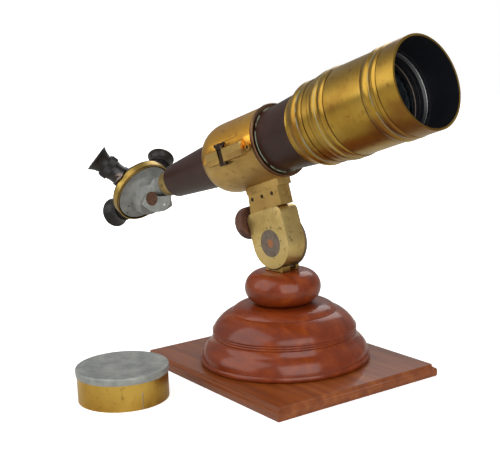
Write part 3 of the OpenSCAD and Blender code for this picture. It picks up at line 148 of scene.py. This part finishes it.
def brass(name, colours, stain_share, rough, lathe_mm=0.0, grooves=(), green=(), green_within=99.0,
          black_before=None, black_turn=-0.3, lug=None, metal_share=1.0, axis=(MOUTH, ALONG)):
    """Brass: three golds and the brown of its stains, in patches of some 60 mm, with dull spots of 8 mm. Where it
    was turned it has fine rings, drawn 3 mm apart because the real ones are too fine to show. Along its axis it
    takes dark grooves and rings of green tarnish, in millimetres, black on the faces that look inwards in front
    of a place, and another colour outside a radius."""
    light, main, dark, stain = colours
    made, tree, shader, place = start(name)
    patch = add(tree, "TexNoise", Vector=place, Scale=grain(62.5), Detail=5.0, Roughness=0.5)
    spots = add(tree, "TexNoise", Vector=place, Scale=grain(7.69), Detail=3.0, Roughness=0.6)
    deep, far, straight = along(tree, place, *axis)
    tint = add(tree, "ValToRGB", stops=[(0.34, dark), (0.5, main), (0.66, light)], Fac=patch)
    if lathe_mm:
        turns = add(tree, "Math", operation="DIVIDE", i0=deep, i1=lathe_mm)
        ring = add(tree, "TexNoise", noise_dimensions="1D", W=turns, Scale=1.0, Detail=6.0, Roughness=0.75)
        shown = add(tree, "MapRange", Value=ring, From_Min=0.35, From_Max=0.75, To_Max=0.35)
        tint = add(tree, "Mix", 2, data_type="RGBA", i0=shown, i6=tint, i7=colour(dark))
    broken = add(tree, "MapRange", Value=patch, To_Max=0.7,
                 From_Min=0.6 - stain_share, From_Max=0.47 - stain_share)
    tint = add(tree, "Mix", 2, data_type="RGBA", i0=broken, i6=tint, i7=colour(stain))
    drops = add(tree, "MapRange", Value=spots, From_Min=0.58, From_Max=0.72, To_Max=0.6)
    tint = add(tree, "Mix", 2, data_type="RGBA", i0=drops, i6=tint, i7=colour(stain))
    if lug:
        radius, code = lug
        beyond = add(tree, "MapRange", Value=far, From_Min=radius, From_Max=radius + 0.8)
        tint = add(tree, "Mix", 2, data_type="RGBA", i0=beyond, i6=tint, i7=colour(code))
    gloss = add(tree, "MapRange", Value=patch, From_Min=0.3, From_Max=0.7,
                To_Min=rough + 0.07, To_Max=rough - 0.04)
    if grooves:
        # Dark lines at the grooves: groove dirt, and painted shade at the turret band's edges.
        groove_dirt_and_shade = add(tree, "MapRange", Value=lines(tree, deep, grooves), To_Max=0.85)
        tint = add(tree, "Mix", 2, data_type="RGBA", i0=groove_dirt_and_shade, i6=tint, i7=colour(GROOVE))
    metal = metal_share
    if green:
        crumbs = add(tree, "TexNoise", Vector=place, Scale=grain(11.1))
        crumbs = add(tree, "MapRange", Value=crumbs, From_Min=0.38, From_Max=0.5)
        film = add(tree, "Math", operation="MULTIPLY", i0=lines(tree, deep, green), i1=crumbs)
        within = add(tree, "MapRange", Value=far, From_Min=green_within, From_Max=green_within - 0.4)
        film = add(tree, "Math", operation="MULTIPLY", i0=film, i1=within)
        tint = add(tree, "Mix", 2, data_type="RGBA", i0=film, i6=tint, i7=colour(TARNISH))
        metal = add(tree, "MapRange", Value=film, To_Min=metal_share, To_Max=0.1)
        chalky = add(tree, "MapRange", Value=film, To_Max=0.8)
        gloss = add(tree, "Math", operation="MAXIMUM", i0=gloss, i1=chalky)
    if black_before is not None:
        face = add(tree, "TexCoord", "Normal")
        turn = add(tree, "VectorMath", "Value", operation="DOT_PRODUCT", i0=face, i1=straight)
        inward = add(tree, "MapRange", Value=turn, From_Min=black_turn + 0.1, From_Max=black_turn - 0.1)
        ahead = add(tree, "MapRange", Value=deep, From_Min=black_before - 1.0, From_Max=black_before + 1.0)
        black = add(tree, "Math", operation="MULTIPLY", i0=inward, i1=ahead)
        tint = add(tree, "Mix", 2, data_type="RGBA", i0=black, i6=tint, i7=colour(WASH))
        clear = add(tree, "MapRange", Value=black, To_Min=1.0, To_Max=0.0)
        metal = add(tree, "Math", operation="MULTIPLY", i0=metal, i1=clear)
        washed = add(tree, "MapRange", Value=black, To_Max=0.38)
        gloss = add(tree, "Math", operation="MAXIMUM", i0=gloss, i1=washed)
    waves = add(tree, "Bump", Height=patch, Distance=0.3 * MM, Strength=0.25)
    tree.links.new(tint, shader.inputs["Base Color"])
    tree.links.new(gloss, shader.inputs["Roughness"])
    tree.links.new(waves, shader.inputs["Normal"])
    if green or black_before is not None:
        tree.links.new(metal, shader.inputs["Metallic"])
    else:
        shader.inputs["Metallic"].default_value = metal
    return made


def plain(name, main, worn, rough, patch_mm, coat=0.0, metal=0.0, shine=0.5, bare=None):
    """A plain finish: one colour that goes over into a worn one in patches of so many millimetres, with a grain
    of 1 mm in its gloss, drawn coarser than the real one so that it shows. It can be rubbed down to the metal
    round a point, in crumbs of 4 mm."""
    made, tree, shader, place = start(name)
    slow = add(tree, "TexNoise", Vector=place, Scale=grain(patch_mm), Detail=5.0, Roughness=0.6)
    fine = add(tree, "TexNoise", Vector=place, Scale=grain(1.11), Detail=2.0)
    tint = add(tree, "ValToRGB", stops=[(0.35, main), (0.72, worn)], Fac=slow)
    shader.inputs["Metallic"].default_value = metal
    if bare:
        point, reach, code = bare
        away = add(tree, "VectorMath", "Value", operation="DISTANCE", i0=place, i1=point)
        near = add(tree, "MapRange", Value=away, From_Min=reach * MM, From_Max=reach * MM * 0.4)
        crumbs = add(tree, "TexNoise", Vector=place, Scale=grain(3.85), Detail=3.0)
        crumbs = add(tree, "MapRange", Value=crumbs, From_Min=0.42, From_Max=0.56)
        rubbed = add(tree, "Math", operation="MULTIPLY", i0=near, i1=crumbs)
        tint = add(tree, "Mix", 2, data_type="RGBA", i0=rubbed, i6=tint, i7=colour(code))
        tree.links.new(add(tree, "MapRange", Value=rubbed, To_Min=metal), shader.inputs["Metallic"])
    gloss = add(tree, "MapRange", Value=fine, From_Min=0.3, From_Max=0.7,
                To_Min=rough - 0.05, To_Max=rough + 0.08)
    tree.links.new(tint, shader.inputs["Base Color"])
    tree.links.new(gloss, shader.inputs["Roughness"])
    tree.links.new(add(tree, "Bump", Height=fine, Distance=0.04 * MM, Strength=0.4), shader.inputs["Normal"])
    shader.inputs["Specular IOR Level"].default_value = shine
    shader.inputs["Coat Weight"].default_value = coat
    shader.inputs["Coat Roughness"].default_value = 0.12
    return made


def mahogany(name, turn, dark, main, light, coat):
    """French-polished mahogany: reddish brown bands 13 mm wide and 190 mm long, with dark pores. The real pores
    are a few tenths of a millimetre apart, too fine to show, so they are drawn 1 mm apart."""
    made, tree, shader, place = start(name)
    lie = add(tree, "Mapping", Vector=place, Rotation=turn, Scale=(grain(192.0), grain(12.8), grain(12.8)))
    band = add(tree, "TexNoise", Vector=lie, Scale=1.0, Detail=4.0, Roughness=0.5, Distortion=0.3)
    run = add(tree, "Mapping", Vector=place, Rotation=turn, Scale=(grain(33.3), grain(1.11), grain(1.11)))
    pore = add(tree, "TexNoise", Vector=run, Scale=1.0, Detail=3.0)
    tint = add(tree, "ValToRGB", stops=[(0.2, dark), (0.5, main), (0.8, light)], Fac=band)
    filled = add(tree, "MapRange", Value=pore, From_Min=0.6, From_Max=0.72, To_Max=0.4)
    tint = add(tree, "Mix", 2, data_type="RGBA", i0=filled, i6=tint, i7=colour("#2a0b02"))
    tree.links.new(tint, shader.inputs["Base Color"])
    tree.links.new(add(tree, "Bump", Height=pore, Distance=0.05 * MM, Strength=0.3), shader.inputs["Normal"])
    shader.inputs["Roughness"].default_value = 0.55
    shader.inputs["Specular IOR Level"].default_value = 0.15
    shader.inputs["Coat Weight"].default_value = coat
    shader.inputs["Coat Roughness"].default_value = 0.15
    return made


def glass(name, tint):
    """Polished crown glass: clear, faintly blue, with a wipe mark or two 33 mm across in its gloss."""
    made, tree, shader, place = start(name)
    wipes = add(tree, "TexNoise", Vector=place, Scale=grain(33.3), Detail=2.0)
    gloss = add(tree, "MapRange", Value=wipes, From_Min=0.3, From_Max=0.7, To_Min=0.02, To_Max=0.05)
    tree.links.new(gloss, shader.inputs["Roughness"])
    shader.inputs["Base Color"].default_value = colour(tint)
    shader.inputs["Transmission Weight"].default_value = 1.0
    shader.inputs["IOR"].default_value = 1.52
    return made


# Millimetres along the tube: the grooves beside the sunshade's beads, and the end of the tube in its collar.
BEADS = [(-22.4, 0.6), (-43.2, 0.6), (-94.4, 0.6), (-119.2, 0.8), (-27.0, 0.3), (-101.0, 0.3)]
END = [(-216.1, 0.5)]
# Millimetres between the fine rings that the lathe leaves, as they are drawn
LATHE_MM = 2.86

# Spun brass under lacquer: deep gold, with dark lines at its beads and a black inside.
SHADE = brass("lacquered brass sunshade", ("#c4a552", "#af8b3a", "#93702c", "#84562a"), 0.17, 0.3,
              lathe_mm=LATHE_MM, grooves=BEADS, green=[(-32.6, 0.35), (-107.0, 0.3)], black_before=-200.0)
# Turned brass tube under lacquer: the same gold a little lighter, with a green line at its joint.
GOLD = brass("lacquered brass", ("#c9aa58", "#b4903f", "#96732d", "#8a5426"), 0.18, 0.3,
             lathe_mm=LATHE_MM, grooves=[(-128.4, 0.6), (-134.0, 0.3)], green=[(-137.4, 0.9)],
             black_before=-100.0, black_turn=0.4)
# Rolled brass sheet: a clean yellow gold with few stains.
SKIRT = brass("brass skirt", ("#d2ac54", "#bd9442", "#9c7630", "#8a6230"), 0.14, 0.32)
# Turned brass hoop: olive gold, dull, with dark lines of painted shade where it meets the black shell.
BAND = brass("turret brass", ("#c4a95c", "#ad9049", "#846a38", "#5c4424"), 0.2, 0.36,
             grooves=[(1.3, 1.0), (10.9, 0.5)], axis=(PIVOT, PIVOT_UP))
# Cast brass with new lacquer: orange gold and evenly bright, but greyer on its lugs.
FRESH = brass("fresh lacquer on brass", ("#f0ba52", "#e2a63f", "#c08630", "#a46a28"), 0.12, 0.3, grooves=END,
              lug=(45.0, "#b8985a"))
# Cast brass, filed and lacquered: brownish gold with broad brown patches and a soft shine.
CAST = brass("cast brass", ("#c6a462", "#ab894b", "#836334", "#5f4024"), 0.21, 0.38,
             grooves=END, metal_share=0.8)
# Cast brass whose lacquer has thinned with age: pale yellow with many brown clouds.
AGED = brass("aged brass", ("#dcc284", "#c4a868", "#8f7243", "#664825"), 0.22, 0.36, metal_share=0.85)
# The same brass, paler on the housing's rounded corners: a thin line of painted highlight along each corner.
EDGE_HIGHLIGHT = brass("brass edge with painted highlight", ("#f6e8b8", "#ecd9a0", "#d9c07c", "#b89a5a"), 0.08, 0.3)
# Turned brass that has browned: chocolate, glossy, green where it meets the tube.
RIM = brass("browned brass ring", ("#8d6f55", "#694d38", "#463022", "#2c1c13"), 0.2, 0.28,
            green=[(-212.2, 0.3)], green_within=37.6)
# Turned brass without lacquer: dull yellow brown.
TURNED = brass("turned brass", ("#b99b5c", "#a4864b", "#75592c", "#6b4a26"), 0.16, 0.32)
# Browned mild steel: warm grey with a soft shine.
STEEL = plain("browned steel", "#6b5e54", "#857568", 0.42, 5.0, metal=0.75)
# Polished steel: near white points of light; on the cell's rim it paints a glint.
BRIGHT = plain("bright steel", "#c4c6c4", "#dcdcd8", 0.3, 5.0, metal=1.0)
# Screw steel browned in hot oil: dark brown dots against the brass; in the casting's two holes the same dots are
# painted shade.
SCREWS = plain("browned screws", "#2b1f17", "#433124", 0.42, 4.0, metal=0.8)
# Copper alloy pin: a small pinkish disc.
BRONZE = plain("copper pin", "#a06a48", "#b37d5c", 0.4, 3.33, metal=0.9)
# Brushed lacquer on a brass tube: nearly black, reddish where the light falls.
LACQUER = plain("brown tube lacquer", "#27130e", "#3b211a", 0.38, 62.5, coat=0.05, shine=0.25)
# Black stoving lacquer: black with a dim broad highlight.
BLACK = plain("black lacquer", "#0e0b0b", "#211a19", 0.42, 16.67, coat=0.05, shine=0.35)
# The same lacquer, glossier and rubbed down to pinkish metal at one place of the barrel.
WORN = plain("black lacquer rubbed bare", "#0e0b0b", "#211a19", 0.36, 16.67, coat=0.1, shine=0.4,
             bare=(Vector((-0.2395, -0.0745, 0.2070)), 9.0, "#a08c84"))
# Chemically blackened brass: blue black, without a highlight of its own.
MATT = plain("blackened brass inside", "#0d0e13", "#15161c", 0.42, 16.67)
# Moulded phenolic resin: black with a brown cast, satin.
BAKELITE = plain("black bakelite", "#110d0b", "#241914", 0.44, 16.67, coat=0.05, shine=0.35)
# Moulded phenolic resin, brown: a dull reddish brown.
BROWN = plain("brown bakelite", "#43261a", "#664030", 0.5, 8.33, coat=0.05)
# Rusty iron: a dry orange brown spot.
PLUG = plain("rusty plug", "#3d2013", "#5c3a1c", 0.6, 3.33, metal=0.3)
# Sprayed enamel on cast metal: mid grey, satin.
CASTING = plain("grey casting paint", "#6e6f6c", "#8b8b86", 0.45, 11.1, coat=0.1)
# The same enamel, paler on the rounded corners: pale grey lines of painted highlight.
CORNER_HIGHLIGHT = plain("casting paint with painted highlight at its edges", "#a9a89f", "#c6c4ba", 0.4, 5.0, metal=0.3)
# Rolled zinc that has dulled: cloudy light grey with hardly a reflection.
ZINC = plain("dull zinc", "#7f8280", "#a3a49e", 0.5, 14.3, metal=0.35)
# Sheet cork: light brown in specks, matt.
CORK = plain("cork", "#a5814f", "#bb9a68", 0.9, 2.0)
# Planed and polished board, its grain along the plate: warm brown under a clear gloss.
PLATE = mahogany("mahogany board", (0.0, 0.0, 0.0), "#5c280a", "#7a3b11", "#93501e", 0.8)
# Turned and polished block, its grain a little across: redder and less glossy.
TURNING = mahogany("turned mahogany", (0.0, 0.0, 0.4), "#5c1e04", "#732b07", "#8b3d0a", 0.55)
# Ground and polished lenses and prism: clear and faintly blue, dark where the tube behind them is.
GLASS = glass("coated glass", "#8fa6b4")

FINISHES = [
    (PLATE, "base_plate"),
    (TURNING, "pedestal bun"),
    (TURNED, "azimuth_bush head_stem worm_wheel worm_bush_rear worm_bush_front foot_block"),
    (AGED, "worm_housing tail_ferrule"),
    (CAST, "shoe collar_lower"),
    (GOLD, "head_ring head_barrel"),
    (SKIRT, "cap_skirt"),
    (BAND, "turret_band"),
    (SHADE, "sunshade"),
    (FRESH, "collar_upper"),
    (RIM, "stop_ring"),
    (SCREWS, "shoe_screws collar_screws clamp_bolts clamp_nuts"),
    (STEEL, "stand_screws spindle_washer spindle_nut wheel_screws bearing_disc end_plate end_plate_screws "
            "turret_pivot worm"),
    (BRONZE, "elevation_axle"),
    (LACQUER, "main_tube"),
    (WORN, "long_eyepiece_barrel"),
    (BLACK, "turret_shell short_eyepiece_barrel main_eyepiece_barrel "
            "long_focus_ring short_focus_ring main_focus_ring"),
    (MATT, "tube_baffle objective_cell lens_retainer"),
    (BAKELITE, "long_eyecup short_eyecup main_eyecup"),
    (BROWN, "elevation_knob"),
    (PLUG, "casting_plug"),
    (CASTING, "prism_casting"),
    (CORK, "collar_liner"),
    (GLASS, "crown_lens flint_lens erecting_prism field_lenses long_eye_lens short_eye_lens main_eye_lens"),
    (ZINC, "cap_lid"),
]
for finish, names in FINISHES:
    for name in names.split():
        NODES[name].data.materials.clear()
        NODES[name].data.materials.append(finish)


# Softened copies of the solid pieces: the same form with its edges broken

RIDES = {node: body for body, nodes in frame["record"]["behaviour"]["bodies"].items() for node in nodes}
SHARP = math.radians(32.0)


def soften(node, width, edge):
    """A copy of a piece with every sharp edge rounded by so many millimetres. It stands for the piece.
    The rounded strips can take a paler finish of their own, a painted highlight along the edges."""
    bpy.ops.object.select_all(action="DESELECT")
    source = NODES[node]
    made = bpy.data.objects.new(node + "_softened", source.data.copy())
    bpy.context.scene.collection.objects.link(made)
    made.matrix_world = source.matrix_world.copy()
    made.select_set(True)
    bpy.context.view_layer.objects.active = made
    bpy.ops.object.mode_set(mode="EDIT")
    bpy.ops.mesh.select_all(action="SELECT")
    bpy.ops.mesh.remove_doubles(threshold=0.01 * MM)
    bpy.ops.mesh.normals_make_consistent(inside=False)
    bpy.ops.object.mode_set(mode="OBJECT")
    bpy.ops.object.shade_smooth_by_angle(angle=SHARP)
    bevel = made.modifiers.new("edges", "BEVEL")
    bevel.width = width * MM
    bevel.segments = 2
    bevel.limit_method = "ANGLE"
    bevel.angle_limit = SHARP
    bevel.harden_normals = True
    if edge:
        made.data.materials.append(edge)
        bevel.material = 1
    bpy.ops.object.modifier_apply(modifier=bevel.name)
    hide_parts(node)
    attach(made, RIDES[node])
    return made


SOFT = {}
# The paler finishes given to the housing's and the casting's rounded edges paint highlights there.
for node, width, edge in (("worm_housing", 1.2, EDGE_HIGHLIGHT), ("collar_lower", 0.5, None), ("collar_upper", 0.5, None),
                          ("prism_casting", 0.8, CORNER_HIGHLIGHT), ("foot_block", 0.6, None), ("cap_lid", 0.5, None),
                          ("end_plate", 0.4, None), ("tail_ferrule", 0.3, None)):
    SOFT[node] = soften(node, width, edge)


# Small pieces that the solids leave out

RING_SIDES = 8
RING_STEPS = 96
RING_SMOOTH = math.radians(50)
PEG_SIDES = 20
PEG_SMOOTH = math.radians(40)


def ring(name, point, radius, section, finish, node):
    """A turned ring round the tube: its cut face is a polygon of so many millimetres across, spun once."""
    bpy.ops.object.select_all(action="DESELECT")
    aside = ALONG.orthogonal().normalized()
    middle = point + aside * radius * MM
    turn = Matrix((aside, ALONG, aside.cross(ALONG))).transposed()
    bpy.ops.mesh.primitive_circle_add(vertices=RING_SIDES, radius=section * 0.5 * MM, location=middle,
                                      rotation=turn.to_euler())
    made = bpy.context.active_object
    made.name = name
    bpy.ops.object.transform_apply(location=True, rotation=True, scale=True)
    bpy.ops.object.mode_set(mode="EDIT")
    bpy.ops.mesh.select_all(action="SELECT")
    bpy.ops.mesh.spin(steps=RING_STEPS, angle=math.tau, center=point, axis=ALONG)
    bpy.ops.mesh.select_all(action="SELECT")
    bpy.ops.mesh.remove_doubles(threshold=0.02 * MM)
    bpy.ops.mesh.normals_make_consistent(inside=False)
    bpy.ops.object.mode_set(mode="OBJECT")
    bpy.ops.object.shade_smooth_by_angle(angle=RING_SMOOTH)
    made.data.materials.append(finish)
    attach(made, RIDES[node])


def peg(name, point, direction, radius, height, finish, node):
    """A small round head: a disc drawn out along its axis and rounded at its rim."""
    bpy.ops.object.select_all(action="DESELECT")
    turn = direction.to_track_quat("Z", "Y").to_euler()
    bpy.ops.mesh.primitive_circle_add(vertices=PEG_SIDES, radius=radius * MM, fill_type="NGON", location=point,
                                      rotation=turn)
    made = bpy.context.active_object
    made.name = name
    bpy.ops.object.transform_apply(location=True, rotation=True, scale=True)
    bpy.ops.object.mode_set(mode="EDIT")
    bpy.ops.mesh.select_all(action="SELECT")
    bpy.ops.mesh.extrude_region_move(TRANSFORM_OT_translate={"value": direction * height * MM})
    bpy.ops.mesh.select_all(action="SELECT")
    bpy.ops.mesh.normals_make_consistent(inside=False)
    bpy.ops.object.mode_set(mode="OBJECT")
    bevel = made.modifiers.new("rim", "BEVEL")
    bevel.width = min(radius, height) * 0.3 * MM
    bevel.segments = 2
    bevel.limit_method = "ANGLE"
    bpy.ops.object.modifier_apply(modifier=bevel.name)
    bpy.ops.object.shade_smooth_by_angle(angle=PEG_SMOOTH)
    made.data.materials.append(finish)
    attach(made, RIDES[node])


def surface(node, start_at, toward):
    """The point where a line first meets a softened piece, and the surface's direction there."""
    met, at, facing, _ = SOFT[node].ray_cast(start_at, toward)
    return (at, facing) if met else (start_at, -toward)


# Rings in the mouth: a bright steel ring that paints the glint of light on the cell's rim, the thread in front of
# the lens and the ring that holds it.
ring("cell_rim_glint", tube(-38.8, 0, 0), 43.2, 0.5, BRIGHT, "objective_cell")
ring("lens_spring_ring", tube(-51.6, 0, 0), 40.2, 1.0, STEEL, "lens_retainer")
ring("lens_front_thread", tube(-46.0, 0, 0), 40.8, 0.5, MATT, "objective_cell")

# A screw in the casting, two flat dark discs that paint the shade in its two holes, and four pins round the
# bearing disc
PIN_CIRCLE = 17.3
PIN_AND_HOLE_SHADE = {"radius": 1.3, "height": 0.12, "finish": SCREWS}
at, facing = surface("prism_casting", tube(-436.0, -70.0, -25.0), ACROSS)
peg("casting_screw", at, facing, 1.5, 0.7, BRIGHT, "prism_casting")
# Two thin dark discs, painted as the shade inside the casting's holes
for number, spot in enumerate((tube(-494.0, -22.0, -12.0), tube(-502.0, -20.0, -20.0)), 1):
    at, facing = surface("prism_casting", spot - PIVOT_UP * 30.0 * MM, PIVOT_UP)
    peg("casting_plug_%d" % number, at, facing, node="prism_casting", **PIN_AND_HOLE_SHADE)
for number, (x, z) in enumerate(((1, 0), (0, 1), (-1, 0), (0, -1)), 1):
    at, facing = surface("worm_housing", tilt(x * PIN_CIRCLE, -60.0, z * PIN_CIRCLE), ACROSS)
    peg("disc_pin_%d" % number, at, facing, node="worm_housing", **PIN_AND_HOLE_SHADE)


# Camera, floor and light

def camera():
    """The photograph's camera, from its measured place and view."""
    lens = bpy.data.cameras.new("camera")
    lens.sensor_width = 36.0
    lens.lens = 73.89
    lens.clip_start = 0.05
    lens.clip_end = 30.0
    eye = bpy.data.objects.new("camera", lens)
    bpy.context.scene.collection.objects.link(eye)
    look = Vector((-0.8129, 0.5551, -0.1763)).normalized()
    right = Vector((0.5694, 0.8211, -0.0401))
    right = (right - look * right.dot(look)).normalized()
    turn = Matrix((right, right.cross(look), -look)).transposed().to_4x4()
    eye.matrix_world = Matrix.Translation((0.91857, -0.66903, 0.37193)) @ turn
    bpy.context.scene.camera = eye


def paper():
    """A sheet of white paper. It keeps a soft shadow near the instrument and goes to white further out, for the
    camera. The brass reflects a slightly grey and warm one."""
    bpy.ops.mesh.primitive_plane_add(size=8.0, location=(0, 0, 0))
    floor = bpy.context.active_object
    floor.name = "floor"
    made, tree, shader, place = start("white paper")
    seen = add(tree, "LightPath", "Is Camera Ray")
    away = add(tree, "VectorMath", "Value", operation="LENGTH", i0=place)
    far = add(tree, "MapRange", Value=away, From_Min=0.35, From_Max=0.8, To_Max=0.6)
    glow = add(tree, "Math", operation="ADD", i0=far, i1=0.5)
    glow = add(tree, "Math", operation="MULTIPLY", i0=glow, i1=seen)
    sheet = add(tree, "Mix", 2, data_type="RGBA", i0=seen, i6=colour("#d7d6ce"), i7=colour("#ededed"))
    tree.links.new(sheet, shader.inputs["Base Color"])
    tree.links.new(glow, shader.inputs["Emission Strength"])
    shader.inputs["Roughness"].default_value = 0.9
    shader.inputs["Specular IOR Level"].default_value = 0.0
    shader.inputs["Emission Color"].default_value = colour("#ffffff")
    floor.data.materials.append(made)


def room():
    """A room that is brighter above than below, and white where the camera looks past the instrument."""
    world = bpy.data.worlds.new("studio")
    world.use_nodes = True
    bpy.context.scene.world = world
    tree = world.node_tree
    back = tree.nodes["Background"]
    toward = add(tree, "TexCoord", "Generated")
    height = add(tree, "SeparateXYZ", "Z", Vector=toward)
    walls = add(tree, "MapRange", Value=height, From_Min=-0.3, From_Max=0.8, To_Min=0.22, To_Max=0.36)
    seen = add(tree, "LightPath", "Is Camera Ray")
    tree.links.new(add(tree, "Math", operation="MAXIMUM", i0=walls, i1=seen), back.inputs["Strength"])
    back.inputs["Color"].default_value = colour("#ffffff")


def lamps():
    """Three soft lamps: a window on the left, a fill from the camera's side and one behind for the rim."""
    middle = Vector((0, 0, 0.18))
    for name, place, size, power in (("window", (-0.6, -1.8, 1.6), 2.6, 40.0),
                                     ("fill", (1.8, -0.5, 1.0), 2.0, 36.0),
                                     ("rim", (-1.2, 1.6, 1.6), 1.4, 14.0)):
        light = bpy.data.lights.new(name, "AREA")
        light.size = size
        light.energy = power
        lamp = bpy.data.objects.new(name, light)
        bpy.context.scene.collection.objects.link(lamp)
        turn = (middle - Vector(place)).to_track_quat("-Z", "Y").to_matrix().to_4x4()
        lamp.matrix_world = Matrix.Translation(place) @ turn


bpy.ops.object.select_all(action="DESELECT")
camera()
paper()
room()
lamps()
bpy.context.scene.view_settings.view_transform = "Standard"
